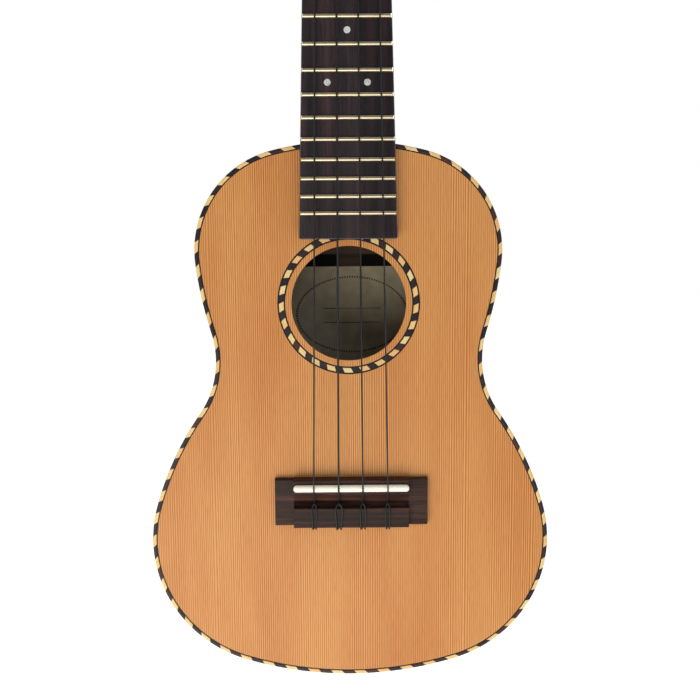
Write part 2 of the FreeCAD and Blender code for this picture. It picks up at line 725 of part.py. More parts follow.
def plate_screw(x, height):
    seat = head_thickness + plate_thickness
    head_piece = post_axis(x, height, seat, seat + 1.2, 1.9)
    head_piece = head_piece.makeFillet(0.7, [e for e in head_piece.Edges if abs(e.CenterOfMass.y - seat - 1.2) < 0.01])
    screw = head_piece.fuse(post_axis(x, height, head_thickness - 8.0, seat, screw_radius)).removeSplitter()
    return screw.cut(box(x - 3, x + 3, seat + 0.75, seat + 2, height - 0.22, height + 0.22))


def bushing(x, height):
    flange = post_axis(x, height, -veneer_thickness - 1.4, -veneer_thickness, 5.0)
    flange = flange.makeFillet(0.6, [e for e in flange.Edges if abs(e.CenterOfMass.y + veneer_thickness + 1.4) < 0.01])
    sleeve = post_axis(x, height, -veneer_thickness, sleeve_end, 4.0)
    return flange.fuse(sleeve).removeSplitter().cut(post_axis(x, height, -9, 20, post_radius + running_gap))


save("tuner_plates", *[tilted(tuner_plate(x, height)) for x, height in post_places])
save("tuner_bushings", *[tilted(bushing(x, height)) for x, height in post_places])
save(
    "tuner_plate_screws",
    *[tilted(plate_screw(x, height + offset)) for x, height in post_places for offset in screw_offsets],
)
for index, (x, height) in enumerate(post_places):
    name = "_" + str(index + 1)
    side = math.copysign(1.0, x)
    save("worm" + name, tilted(worm(x, height, side)))
    save("button" + name, tilted(button(x, height, side)))
    save("gear" + name, tilted(gear(x, height)), tilted(gear_screw(x, height)))
    save("post" + name, tilted(post(x, height)))
    save("string_winding" + name, *[tilted(s) for s in winding(x, height, string_diameters[index])])
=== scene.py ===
import bmesh
import bpy
import math
import numpy as np
from functools import partial
from mathutils import Matrix, Vector


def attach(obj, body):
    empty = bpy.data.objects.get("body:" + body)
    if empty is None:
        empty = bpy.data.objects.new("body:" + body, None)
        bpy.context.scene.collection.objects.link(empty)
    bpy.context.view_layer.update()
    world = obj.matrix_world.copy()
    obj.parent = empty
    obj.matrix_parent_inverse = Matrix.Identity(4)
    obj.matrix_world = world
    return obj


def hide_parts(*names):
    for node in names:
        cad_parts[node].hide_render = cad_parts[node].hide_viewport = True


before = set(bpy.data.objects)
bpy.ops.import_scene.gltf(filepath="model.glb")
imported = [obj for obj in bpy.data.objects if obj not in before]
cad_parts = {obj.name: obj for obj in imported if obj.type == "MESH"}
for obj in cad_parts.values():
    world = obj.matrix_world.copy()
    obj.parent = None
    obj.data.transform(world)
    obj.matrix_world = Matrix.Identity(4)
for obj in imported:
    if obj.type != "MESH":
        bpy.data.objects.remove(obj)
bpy.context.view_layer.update()        # a concert ukulele, hung by its head
mm = 0.001
print("frame:", len(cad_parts), "pieces from the design")


# an sRGB hex colour turned to linear light
def toLinear(hexText):
    parts = [int(hexText[i:i + 2], 16) / 255 for i in (0, 2, 4)]
    return [c / 12.92 if c <= 0.04045 else ((c + 0.055) / 1.055) ** 2.4 for c in parts] + [1.0]


# adds one node: settings are its properties, sockets or ramp stops, links are its incoming wires
def addNode(tree, kind, settings=None, links=None):
    node = tree.nodes.new("ShaderNode" + kind)
    for key, value in (settings or {}).items():
        if key == "stops":
            elements = node.color_ramp.elements
            while len(elements) < len(value):
                elements.new(0.5)
            for element, (place, hexText) in zip(elements, value):
                element.position = place
                element.color = toLinear(hexText)
        elif isinstance(key, str) and hasattr(node, key):
            setattr(node, key, value)
        else:
            node.inputs[key].default_value = value
    for key, source in (links or {}).items():
        giver, output = source if isinstance(source, tuple) else (source, 0)
        tree.links.new(giver.outputs[output], node.inputs[key])
    return node


# a Principled material: fixed sockets from finish, wired sockets from what build returns
def newMaterial(name, finish, build):
    material = bpy.data.materials.new(name)
    material.use_nodes = True
    tree = material.node_tree
    tree.nodes.clear()
    shader = addNode(tree, "BsdfPrincipled", finish, build(partial(addNode, tree)))
    addNode(tree, "OutputMaterial", {}, {"Surface": shader})
    return material


# Western red cedar, quarter sawn, under a thin satin lacquer: straight growth lines a little over
# a millimetre apart, strong in some bands and almost lost in others.
cedarLook = {
    "light": "f3b673", "mid": "df9d5a", "dark": "c67c3a",
    "line": 1.05 * mm, "wander": 7.5 * mm, "band": 12.0 * mm, "fleck": 0.35 * mm,
    "sway": 1.2 * mm,                              # how far a line bends aside on its way down
    "drift": 2.2,                                  # lines gained or lost as their spacing wanders
    "wave": 0.26, "rough": 0.18, "base": -0.09,    # contrast of the lines, unevenness, and level
    "faint": 0.3, "strong": 1.25,                  # their strength in the weakest and strongest band
}


def cedarNodes(add):
    look = cedarLook
    coords = add("TexCoord")
    slow = add("Mapping", {"Scale": (12, 12, 3.0)}, {"Vector": (coords, "Object")})
    sway = add("TexNoise", {"Scale": 1.0, "Detail": 1.0}, {"Vector": slow})
    place = add("SeparateXYZ", {}, {"Vector": (coords, "Object")})
    swayed = add("Math", {"operation": "MULTIPLY_ADD", 1: look["sway"]}, {0: sway, 2: (place, "X")})
    # the growth line count: distance over line width, its spacing wandering slowly
    wanderAt = add("Math", {"operation": "DIVIDE", 1: look["wander"]}, {0: swayed})
    wander = add("TexNoise", {"noise_dimensions": "1D", "Scale": 1.0, "Detail": 1.0}, {"W": wanderAt})
    lineAt = add("Math", {"operation": "DIVIDE", 1: look["line"]}, {0: swayed})
    count = add("Math", {"operation": "MULTIPLY_ADD", 1: look["drift"]}, {0: wander, 2: lineAt})
    turn = add("Math", {"operation": "MULTIPLY", 1: 2 * math.pi}, {0: count})
    wave = add("Math", {"operation": "SINE"}, {0: turn})
    rough = add(
        "TexNoise", {"noise_dimensions": "1D", "Scale": 1.3, "Detail": 2.0, "Roughness": 0.6},
        {"W": lineAt},
    )
    mixed = add("Math", {"operation": "MULTIPLY_ADD", 1: look["wave"], 2: look["base"]}, {0: wave})
    lines = add("Math", {"operation": "MULTIPLY_ADD", 1: look["rough"]}, {0: rough, 2: mixed})
    bandAt = add("Math", {"operation": "DIVIDE", 1: look["band"]}, {0: swayed})
    bands = add("TexNoise", {"noise_dimensions": "1D", "Scale": 1.0, "Detail": 2.0}, {"W": bandAt})
    strength = add(
        "MapRange",
        {"From Min": 0.38, "From Max": 0.62, "To Min": look["faint"], "To Max": look["strong"]},
        {"Value": bands},
    )
    grain = add("Math", {"operation": "MULTIPLY_ADD", 2: 0.5}, {0: lines, 1: strength})
    colour = add(
        "ValToRGB", {"stops": [(0.24, look["dark"]), (0.5, look["mid"]), (0.76, look["light"])]},
        {"Fac": grain},
    )
    toneAt = add("Mapping", {"Scale": (38, 38, 7), "Location": (4, 0, 1)}, {"Vector": (coords, "Object")})
    tone = add("TexNoise", {"Scale": 1.0, "Detail": 2.0}, {"Vector": toneAt})
    wash = add("ValToRGB", {"stops": [(0.3, "efdccb"), (0.6, "ffffff")]}, {"Fac": tone})
    washed = add("Mix", {"data_type": "RGBA", "blend_type": "MULTIPLY", 0: 0.8}, {6: colour, 7: wash})
    fleckAt = add("Mapping", {"Scale": (1 / look["fleck"], 900, 130)}, {"Vector": (coords, "Object")})
    fleck = add("TexNoise", {"Scale": 1.0, "Detail": 2.0}, {"Vector": fleckAt})
    pale = add("ValToRGB", {"stops": [(0.3, "e3cbb4"), (0.55, "ffffff")]}, {"Fac": fleck})
    final = add("Mix", {"data_type": "RGBA", "blend_type": "MULTIPLY", 0: 0.45}, {6: (washed, 2), 7: pale})
    gloss = add("MapRange", {"To Min": 0.38, "To Max": 0.48}, {"Value": grain})
    relief = add("Bump", {"Strength": 0.15, "Distance": 0.08 * mm}, {"Height": grain})
    return {"Base Color": (final, 2), "Roughness": gloss, "Normal": relief}


# the scales of a pattern drawn out along the axis the wood runs on
def drawnOut(grain, across, along):
    return (across, across, along) if grain == "z" else (along, across, across)


# Rosewood and mahogany: wavering streaks along the grain over broad light and dark bands, with
# open pores about 0.4 mm wide and 9 mm long.
def streakedNodes(add, look):
    stretch = drawnOut(look["grain"], 1 / look["streak"], 8.0)
    pores = drawnOut(look["grain"], 2400, 110)
    coords = add("TexCoord")
    wide = add(
        "Mapping", {"Scale": [0.25 * s for s in stretch], "Location": look["from"]},
        {"Vector": (coords, "Object")},
    )
    broad = add("TexNoise", {"Scale": 1.0, "Detail": 2.0}, {"Vector": wide})
    streakAt = add("Mapping", {"Scale": stretch, "Location": look["from"]}, {"Vector": (coords, "Object")})
    pushed = add(
        "VectorMath", {"operation": "MULTIPLY_ADD", 1: (1.6, 1.6, 1.6)},
        {0: (broad, "Color"), 2: streakAt},
    )
    streaks = add("TexNoise", {"Scale": 1.0, "Detail": 5.0, "Roughness": 0.62}, {"Vector": pushed})
    dark, mid, light = look["colours"]
    colour = add("ValToRGB", {"stops": [(0.30, dark), (0.52, mid), (0.76, light)]}, {"Fac": streaks})
    bandTone = add("ValToRGB", {"stops": [(0.36, look["shade"]), (0.62, "ffffff")]}, {"Fac": broad})
    toned = add("Mix", {"data_type": "RGBA", "blend_type": "MULTIPLY", 0: 0.9}, {6: colour, 7: bandTone})
    poreAt = add("Mapping", {"Scale": pores}, {"Vector": (coords, "Object")})
    pore = add("TexNoise", {"Scale": 1.0, "Detail": 1.0}, {"Vector": poreAt})
    poreTone = add("ValToRGB", {"stops": [(0.32, "5a4c48"), (0.42, "ffffff")]}, {"Fac": pore})
    final = add(
        "Mix", {"data_type": "RGBA", "blend_type": "MULTIPLY", 0: look["pores"]},
        {6: (toned, 2), 7: poreTone},
    )
    relief = add("Bump", {"Strength": 0.2, "Distance": 0.06 * mm}, {"Height": pore})
    return {"Base Color": (final, 2), "Normal": relief}


boardLook = {
    "colours": ("242023", "382f33", "603f3e"), "shade": "a89ea6", "streak": 3.5 * mm, "grain": "z",
    "from": (3, 0, 1), "pores": 0.5,
}
bridgeLook = {
    "colours": ("22130f", "3b241d", "6e4a3b"), "shade": "a89890", "streak": 2.6 * mm, "grain": "x",
    "from": (5, 2, 1), "pores": 0.6,
}
bodyLook = {
    "colours": ("1a0f0c", "3a2118", "68402c"), "shade": "8c7f78", "streak": 8.0 * mm, "grain": "z",
    "from": (2, 7, 3), "pores": 0.6,
}
neckLook = {
    "colours": ("4c2d1e", "6c412a", "89583a"), "shade": "c9bcb2", "streak": 5.0 * mm, "grain": "z",
    "from": (8, 1, 4), "pores": 0.5,
}
braceLook = {
    "colours": ("2e1d14", "452e20", "5e422f"), "shade": "c9bcb2", "streak": 3.0 * mm, "grain": "x",
    "from": (1, 5, 2), "pores": 0.4,
}
satin = {"Roughness": 0.46, "Specular IOR Level": 0.24}
lacquer = {"Roughness": 0.32, "Coat Weight": 0.4, "Coat Roughness": 0.12}


# The board's long edges and end carry a painted highlight, a thin grey-blue line where the rounded edges
# would catch the light: a mask from the taper of the board.
edgeHighlightLook = {
    "nutHalf": 17.5 * mm, "taper": 6.4 / 258.0, "end": -258.0 * mm, "width": 0.38 * mm,
    "topAbove": -5.7 * mm, "colour": "6c737c", "strength": 0.55,
}


def boardNodes(add):
    links = streakedNodes(add, boardLook)
    coords = add("TexCoord")
    place = add("SeparateXYZ", {}, {"Vector": (coords, "Object")})
    distance = add("Math", {"operation": "ABSOLUTE"}, {0: (place, "X")})
    widened = add(
        "Math", {"operation": "MULTIPLY_ADD", 1: edgeHighlightLook["taper"]}, {0: (place, "Z"), 2: distance},
    )
    edge = edgeHighlightLook["nutHalf"] - edgeHighlightLook["width"]
    atSide = add("Math", {"operation": "GREATER_THAN", 1: edge}, {0: widened})
    atEnd = add("Math", {"operation": "LESS_THAN", 1: edgeHighlightLook["end"] + edgeHighlightLook["width"]}, {0: (place, "Z")})
    highlightedEdges = add("Math", {"operation": "MAXIMUM"}, {0: atSide, 1: atEnd})
    onTop = add("Math", {"operation": "LESS_THAN", 1: edgeHighlightLook["topAbove"]}, {0: (place, "Y")})
    highlightedTopEdges = add("Math", {"operation": "MULTIPLY"}, {0: highlightedEdges, 1: onTop})
    faint = add("Math", {"operation": "MULTIPLY", 1: edgeHighlightLook["strength"]}, {0: highlightedTopEdges})
    # the painted highlight: grey-blue mixed over the wood along the board's top edges and end
    final = add(
        "Mix", {"data_type": "RGBA", 7: toLinear(edgeHighlightLook["colour"])},
        {0: faint, 6: links["Base Color"]},
    )
    return {**links, "Base Color": (final, 2)}


# The back is lacquered outside; inside it is rough and near black, a painted shade for the dark inside of
# the body, told apart by the depth in the plate.
backLook = {
    "level": 64.0 * mm, "slope": 6.0 / 271.8, "neckEnd": -210.7 * mm, "skin": 0.6 * mm,
    # inside: a near-black painted shade, darker than the bare wood
    "inside": "0a0809",
}


def backNodes(add):
    links = streakedNodes(add, bodyLook)
    coords = add("TexCoord")
    place = add("SeparateXYZ", {}, {"Vector": (coords, "Object")})
    sloped = add(
        "Math", {"operation": "MULTIPLY_ADD", 1: backLook["slope"]}, {0: (place, "Z"), 2: (place, "Y")},
    )
    outside = backLook["level"] + backLook["slope"] * backLook["neckEnd"] - backLook["skin"]
    isOut = add("Math", {"operation": "GREATER_THAN", 1: outside}, {0: sloped})
    # painted shade: below the lacquered skin the back is near black
    shell = add(
        "Mix", {"data_type": "RGBA", 6: toLinear(backLook["inside"])},
        {0: isOut, 7: links["Base Color"]},
    )
    gloss = add("MapRange", {"To Min": 0.95, "To Max": 0.3}, {"Value": isOut})
    return {**links, "Base Color": (shell, 2), "Roughness": gloss}


# Softwood and mahogany left bare inside the body: dry and fibrous.
def bareNodes(add):
    coords = add("TexCoord")
    fibreAt = add("Mapping", {"Scale": (900, 900, 70)}, {"Vector": (coords, "Object")})
    fibre = add("TexNoise", {"Scale": 1.0, "Detail": 4.0}, {"Vector": fibreAt})
    colour = add("ValToRGB", {"stops": [(0.3, "7c5840"), (0.7, "a88160")]}, {"Fac": fibre})
    relief = add("Bump", {"Strength": 0.3, "Distance": 0.1 * mm}, {"Height": fibre})
    return {"Base Color": colour, "Normal": relief}


# Rope edging blocks of pale maple and dyed hardwood: each block has its own tone.
paleBlock = [(0.0, "fccb86"), (0.4, "ffd893"), (0.75, "ffe29f"), (1.0, "ffecb0")]
darkBlock = [(0.0, "1a1619"), (0.35, "211e21"), (0.6, "2c2023"), (0.85, "3a2324"), (1.0, "522a20")]


def blockNodes(add, stops):
    tone = add("Attribute", {"attribute_name": "blockTone"})
    coords = add("TexCoord")
    grainAt = add("Mapping", {"Scale": (1400, 1400, 1400)}, {"Vector": (coords, "Object")})
    grain = add("TexNoise", {"Scale": 1.0, "Detail": 3.0}, {"Vector": grainAt})
    colour = add("ValToRGB", {"stops": stops}, {"Fac": (tone, "Fac")})
    fleck = add("ValToRGB", {"stops": [(0.3, "dcc6a4"), (0.6, "ffffff")]}, {"Fac": grain})
    final = add("Mix", {"data_type": "RGBA", "blend_type": "MULTIPLY", 0: 0.55}, {6: colour, 7: fleck})
    relief = add("Bump", {"Strength": 0.1, "Distance": 0.05 * mm}, {"Height": grain})
    return {"Base Color": (final, 2), "Normal": relief}


# One cloudy tone between two or more colours, for stains, shell, bone, plastics and metals;
# size is the real width of its clouds, stretched along Z by draw, and gloss the roughness range.
def cloudyNodes(add, look):
    coords = add("TexCoord")
    cloudAt = add(
        "Mapping", {"Scale": [1 / look["size"], 1 / look["size"], 1 / look["size"] / look["draw"]]},
        {"Vector": (coords, "Object")},
    )
    cloud = add("TexNoise", {"Scale": 1.0, "Detail": 3.0, "Distortion": look["twist"]}, {"Vector": cloudAt})
    colour = add("ValToRGB", {"stops": look["stops"]}, {"Fac": cloud})
    gloss = add("MapRange", {"To Min": look["gloss"][0], "To Max": look["gloss"][1]}, {"Value": cloud})
    return {"Base Color": colour, "Roughness": gloss}


blackLook = {
    "size": 0.9 * mm, "draw": 1, "twist": 0, "gloss": (0.4, 0.5),
    "stops": [(0.3, "121110"), (0.7, "201d1c")],
}
boneLook = {
    "size": 5 * mm, "draw": 0.4, "twist": 0, "gloss": (0.25, 0.35),
    "stops": [(0.3, "fffdec"), (0.7, "fffff8")],
}
shellLook = {
    "size": 1.1 * mm, "draw": 1, "twist": 1.5, "gloss": (0.18, 0.3),
    "stops": [(0.36, "a8b4b6"), (0.5, "dfe5e4"), (0.64, "f4f6f4")],
}
fretLook = {
    "size": 0.4 * mm, "draw": 1, "twist": 0, "gloss": (0.24, 0.34),
    "stops": [(0.35, "cfc2a2"), (0.65, "dfd3b6")],
}
nickelLook = {
    "size": 1.5 * mm, "draw": 3, "twist": 0, "gloss": (0.16, 0.28),
    "stops": [(0.35, "bdb9b0"), (0.65, "cfccc4")],
}
brassLook = {
    "size": 1.1 * mm, "draw": 1, "twist": 0, "gloss": (0.22, 0.36),
    "stops": [(0.35, "c49a4e"), (0.65, "d8b468")],
}
steelLook = {
    "size": 1.1 * mm, "draw": 1, "twist": 0, "gloss": (0.28, 0.4),
    "stops": [(0.35, "9c9c9c"), (0.65, "b4b4b2")],
}
nylonLook = {
    "size": 2 * mm, "draw": 8, "twist": 0, "gloss": (0.34, 0.42),
    "stops": [(0.3, "14171c"), (0.7, "22262d")],
}
acetateLook = {
    "size": 6 * mm, "draw": 1, "twist": 2, "gloss": (0.12, 0.2),
    "stops": [(0.3, "cfc8b4"), (0.5, "e9e3d2"), (0.7, "f6f2e6")],
}

# Aged label paper, printed in black with a dotted oval and two ruled lines and no words.
labelLook = {
    "centreX": 2.0 * mm, "centreZ": -300.4 * mm, "halfWide": 31.0 * mm, "halfHigh": 21.2 * mm,
    "dots": 138, "dotHalf": 0.42 * mm, "dotFrom": -0.05,
    "ruleHalf": 16 * mm, "ruleThin": 0.15 * mm, "rules": (3.5 * mm, -4.5 * mm), "ink": "080706",
}


def paperNodes(add):
    look = labelLook
    coords = add("TexCoord")
    place = add("SeparateXYZ", {}, {"Vector": (coords, "Object")})
    across = add("Math", {"operation": "SUBTRACT", 1: look["centreX"]}, {0: (place, "X")})
    up = add("Math", {"operation": "SUBTRACT", 1: look["centreZ"]}, {0: (place, "Z")})
    u = add("Math", {"operation": "DIVIDE", 1: look["halfWide"]}, {0: across})
    v = add("Math", {"operation": "DIVIDE", 1: look["halfHigh"]}, {0: up})
    flat = add("CombineXYZ", {}, {"X": u, "Y": v})
    radius = add("VectorMath", {"operation": "LENGTH"}, {0: flat})
    # ink where the radius is near 1 and the turn round the oval is in the dot half of its period
    onOval = add(
        "Math", {"operation": "COMPARE", 1: 1.0, 2: look["dotHalf"] / look["halfHigh"]},
        {0: (radius, "Value")},
    )
    turn = add("Math", {"operation": "ARCTAN2"}, {0: v, 1: u})
    wave = add("Math", {"operation": "MULTIPLY", 1: look["dots"]}, {0: turn})
    height = add("Math", {"operation": "SINE"}, {0: wave})
    onDot = add("Math", {"operation": "GREATER_THAN", 1: look["dotFrom"]}, {0: height})
    ink = add("Math", {"operation": "MULTIPLY"}, {0: onOval, 1: onDot})
    inside = add("Math", {"operation": "COMPARE", 1: 0.0, 2: look["ruleHalf"]}, {0: across})
    for rule in look["rules"]:
        onRule = add("Math", {"operation": "COMPARE", 1: rule, 2: look["ruleThin"]}, {0: up})
        ruled = add("Math", {"operation": "MULTIPLY"}, {0: onRule, 1: inside})
        ink = add("Math", {"operation": "MAXIMUM"}, {0: ink, 1: ruled})
    cloud = add("TexNoise", {"Scale": 130.0, "Detail": 5.0}, {"Vector": (coords, "Object")})
    sheet = add("ValToRGB", {"stops": [(0.3, "cbbf9f"), (0.7, "e6dabb")]}, {"Fac": cloud})
    final = add("Mix", {"data_type": "RGBA", 7: toLinear(look["ink"])}, {0: ink, 6: sheet})
    return {"Base Color": (final, 2)}


cedar = newMaterial("lacquered cedar", {"Specular IOR Level": 0.35}, cedarNodes)
boardWood = newMaterial("oiled rosewood board", satin, boardNodes)
veneerWood = newMaterial("oiled rosewood veneer", satin, lambda add: streakedNodes(add, boardLook))
bridgeWood = newMaterial("oiled rosewood bridge", satin, lambda add: streakedNodes(add, bridgeLook))
bodyWood = newMaterial("lacquered rosewood", lacquer, lambda add: streakedNodes(add, bodyLook))
backWood = newMaterial("lacquered rosewood back", {"Specular IOR Level": 0.4}, backNodes)
neckWood = newMaterial("satin mahogany", {"Roughness": 0.42}, lambda add: streakedNodes(add, neckLook))
braceWood = newMaterial(
    "bare mahogany brace", {"Roughness": 0.7}, lambda add: streakedNodes(add, braceLook),
)
bareWood = newMaterial("bare softwood", {"Roughness": 0.8}, bareNodes)
maple = newMaterial("maple rope block", {"Roughness": 0.4}, lambda add: blockNodes(add, paleBlock))
dyedWood = newMaterial(
    "dyed rope block", {"Roughness": 0.42, "Specular IOR Level": 0.35},
    lambda add: blockNodes(add, darkBlock),
)
blackLine = newMaterial(
    "black dyed veneer", {"Specular IOR Level": 0.3}, lambda add: cloudyNodes(add, blackLook),
)
# the nut and saddle glow faintly through a cream emission: a painted glow, not a lamp
bone = newMaterial(
    "polished bone with painted glow", {"Emission Color": toLinear("fff6dc"), "Emission Strength": 0.2},
    lambda add: cloudyNodes(add, boneLook),
)
shell = newMaterial(
    "shell dot", {"Coat Weight": 0.4, "Coat Roughness": 0.1}, lambda add: cloudyNodes(add, shellLook),
)
fretWire = newMaterial("nickel silver fret wire", {"Metallic": 1.0}, lambda add: cloudyNodes(add, fretLook))
nickel = newMaterial("nickel plate", {"Metallic": 1.0}, lambda add: cloudyNodes(add, nickelLook))
brass = newMaterial("brass", {"Metallic": 1.0}, lambda add: cloudyNodes(add, brassLook))
steel = newMaterial("zinc plated steel", {"Metallic": 1.0}, lambda add: cloudyNodes(add, steelLook))
nylon = newMaterial("black nylon", {"Specular IOR Level": 0.45}, lambda add: cloudyNodes(add, nylonLook))
acetate = newMaterial(
    "pearl acetate", {"Coat Weight": 0.4, "Coat Roughness": 0.08},
    lambda add: cloudyNodes(add, acetateLook),
)
paper = newMaterial("printed label paper", {"Roughness": 0.9}, paperNodes)

finishes = {
    "soundboard": cedar, "purfling_lines": blackLine, "label": paper,
    "frets": fretWire, "position_markers": shell,
    "fingerboard": boardWood, "headstock_veneer": veneerWood, "heel_cap": veneerWood, "bridge": bridgeWood,
    "back_plate": backWood, "side_bass": bodyWood, "side_treble": bodyWood, "end_graft": veneerWood,
    "neck": neckWood, "headstock": neckWood, "back_braces": braceWood, "back_centre_strip": braceWood,
    "nut": bone, "saddle": bone, "neck_bolt": steel, "neck_insert": brass,
    "tuner_plates": nickel, "tuner_bushings": nickel, "tuner_plate_screws": nickel,
}
for number in range(1, 5):
    finishes.update({f"worm_{number}": nickel, f"gear_{number}": brass, f"post_{number}": nickel})
for name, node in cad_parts.items():
    node.data.materials.clear()
    node.data.materials.append(finishes.get(name, bareWood))
print("finishes on the design's pieces")


# a smooth piece from points and faces, its doubles merged and its faces turned outwards
def makePiece(name, points, faces, materials, body, standsFor):
    mesh = bpy.data.meshes.new(name)
    mesh.from_pydata(points.reshape(-1, 3).tolist(), [], faces)
    for material in materials:
        mesh.materials.append(material)
    work = bmesh.new()
    work.from_mesh(mesh)
    bmesh.ops.remove_doubles(work, verts=work.verts, dist=1e-7)
    bmesh.ops.recalc_face_normals(work, faces=work.faces)
    work.to_mesh(mesh)
    work.free()
    mesh.shade_smooth()
    piece = bpy.data.objects.new(name, mesh)
    bpy.context.scene.collection.objects.link(piece)
    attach(piece, body)
    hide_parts(standsFor)
    return piece


# quads of a grid whose point (i, j) is number i * columns + j, closed round either way if asked
def gridFaces(rows, columns, closeRows, closeColumns):
    i, j = np.meshgrid(
        np.arange(rows - (not closeRows)), np.arange(columns - (not closeColumns)), indexing="ij",
    )
    below, right = (i + 1) % rows, (j + 1) % columns
    quads = np.stack(
        [i * columns + j, i * columns + right, below * columns + right, below * columns + j], -1,
    )
    return quads.reshape(-1, 4).tolist()


# gives the faces of every block along a strip its wood, pale and dark in turn, and its own tone
def colourBlocks(piece, blockOfRow, columns, seed):
    faceBlock = np.repeat(blockOfRow, columns)
    draws = np.random.default_rng(seed).random(blockOfRow.max() + 1)
    piece.data.polygons.foreach_set("material_index", (faceBlock % 2).astype(np.int32))
    tone = piece.data.attributes.new("blockTone", "FLOAT", "FACE")
    tone.data.foreach_set("value", draws[faceBlock].astype(np.float32))


# Half outline of the body from the tail to the neck in tangent arcs: radius in mm, turn in degrees.
outline = {
    "tail": -482.5 * mm,
    "arcs": [(180.8, 17.4), (66.4, 88.8), (160.6, 19.0), (47.1, -51.8), (198.6, 10.0), (50.5, 82.5)],
}


# start, heading, signed radius and length of each arc; the last one closes on the centre line
def outlineArcs():
    x, z, heading, table = 0.0, outline["tail"], 0.0, []
    turns = [(r * mm * math.copysign(1, turn), math.radians(turn)) for r, turn in outline["arcs"]]
    last = math.pi - sum(turn for _, turn in turns)
    for index in range(len(turns) + 1):
        radius, turn = turns[index] if index < len(turns) else (x / math.sin(last), last)
        table.append((x, z, heading, radius, radius * turn))
        x += radius * (math.sin(heading + turn) - math.sin(heading))
        z += radius * (math.cos(heading) - math.cos(heading + turn))
        heading += turn
    return np.array(table)


arcTable = outlineArcs()
halfLength = arcTable[:, 4].sum()


# the point at length s round the outline, counted from the tail towards the treble side, moved
# inwards by inset: centre of the arc plus (radius - inset) along its turned radius, mirrored past the neck
def outlineAt(s, inset):
    loop = np.mod(s, 2 * halfLength)
    mirror = np.where(loop > halfLength, -1.0, 1.0)
    along = np.where(loop > halfLength, 2 * halfLength - loop, loop)
    ends = np.cumsum(arcTable[:, 4])
    which = np.minimum(np.searchsorted(ends, along, side="right"), len(ends) - 1)
    x0, z0, heading, radius, length = np.moveaxis(arcTable[which], -1, 0)
    angle = heading + (along - ends[which] + length) / radius
    x = x0 + radius * (np.sin(angle) - np.sin(heading)) - inset * np.sin(angle)
    z = z0 + radius * (np.cos(heading) - np.cos(angle)) + inset * np.cos(angle)
    return mirror * x, z


ropeEdge = {
    "pairs": 66, "darkShare": 0.53, "steps": 4, "width": 1.85 * mm, "height": 4.0 * mm,
    "skew": 1.7 * mm, "round": 0.45 * mm, "seeds": {"front": 4, "back": 9},
}


# a closed section (face, rounded outer corner, side, ledge, inner wall) carried round the outline;
# each ring is shifted back along it in step with the inset, so the block ends are slanted
def makeRopeEdge(side, depthAt, standsFor):
    look = ropeEdge
    a = np.linspace(0, np.pi / 2, 5)
    corner = np.stack([look["round"] * (1 - np.sin(a)), look["round"] * (1 - np.cos(a))], -1)
    face = np.stack([np.linspace(look["width"], look["round"], 4)[:-1], np.zeros(3)], -1)
    rest = np.array([[0, 0.5], [0, 1], [1, 1], [1, 0.5]]) * [look["width"], look["height"]]
    section = np.concatenate([face, corner, rest])
    share = np.linspace(0, 1, look["steps"], endpoint=False)
    dark = look["darkShare"]
    within = np.concatenate([dark * share, dark + (1 - dark) * share])
    pairs = np.arange(look["pairs"])[:, None] + within[None, :] - dark / 2
    s = (pairs * 2 * halfLength / look["pairs"]).reshape(-1, 1)
    inset = section[:, 0][None, :]
    x, z = outlineAt(s - look["skew"] * inset / look["width"], inset + 0 * s)
    points = np.stack([x, depthAt(section[:, 1][None, :], z), z], -1)
    faces = gridFaces(len(s), len(section), True, True)
    piece = makePiece(
        f"rope_edge_{side}", points, faces, [dyedWood, maple], "instrument", standsFor,
    )
    colourBlocks(piece, np.arange(len(s)) // look["steps"], len(section), look["seeds"][side])


makeRopeEdge("front", lambda depth, z: depth + 0 * z, "binding_top")
makeRopeEdge(
    "back", lambda depth, z: backLook["level"] + backLook["slope"] * (backLook["neckEnd"] - z) - depth,
    "binding_back",
)

rosette = {
    "pairs": 25, "steps": 6, "inner": 32.15 * mm, "outer": 34.55 * mm, "depth": 1.2 * mm,
    "skew": 1.25 * mm, "centre": -289.7 * mm, "paleAt": 268.9, "seed": 12,
}


# a flat ring in polar form; the angle grows with the radius, so the block ends are slanted
def makeRosette():
    look = rosette
    inner, outer, depth = look["inner"], look["outer"], look["depth"]
    middle = (inner + outer) / 2
    r = np.array([inner, middle, outer, outer, inner])
    y = np.array([0, 0, 0, depth, depth])
    rows = look["pairs"] * 2 * look["steps"]
    step = 2 * math.pi / rows
    first = math.radians(look["paleAt"]) - 1.5 * look["steps"] * step
    lean = look["skew"] / middle * (r - middle) / (outer - inner)
    angle = first + step * np.arange(rows)[:, None] + lean
    points = np.stack([r * np.cos(angle), y + 0 * angle, look["centre"] + r * np.sin(angle)], -1)
    faces = gridFaces(rows, len(r), True, True)
    piece = makePiece(
        "rosette_blocks", points, faces, [dyedWood, maple], "instrument", "rosette_rope",
    )
    piece.data.shade_flat()
    colourBlocks(piece, np.arange(rows) // look["steps"], len(r), look["seed"])


makeRosette()
print("rope edging and rosette")

# The head's own upright axes, and the tuning posts on them: x, height.
head = {
    "tilt": 13.0, "start": 5.0, "posts": [(-19.5, 38.0), (-19.5, 80.0), (19.5, 80.0), (19.5, 38.0)],
    "postRadius": 3.0,
}


# a point of the head turned back by the tilt and lifted to where the head starts; mm to metres
def onHead(points):
    x, y, h = np.moveaxis(np.asarray(points, float), -1, 0)
    c, s = math.cos(math.radians(head["tilt"])), math.sin(math.radians(head["tilt"]))
    return np.stack([x, y * c + h * s, head["start"] + h * c - y * s], -1) * mm


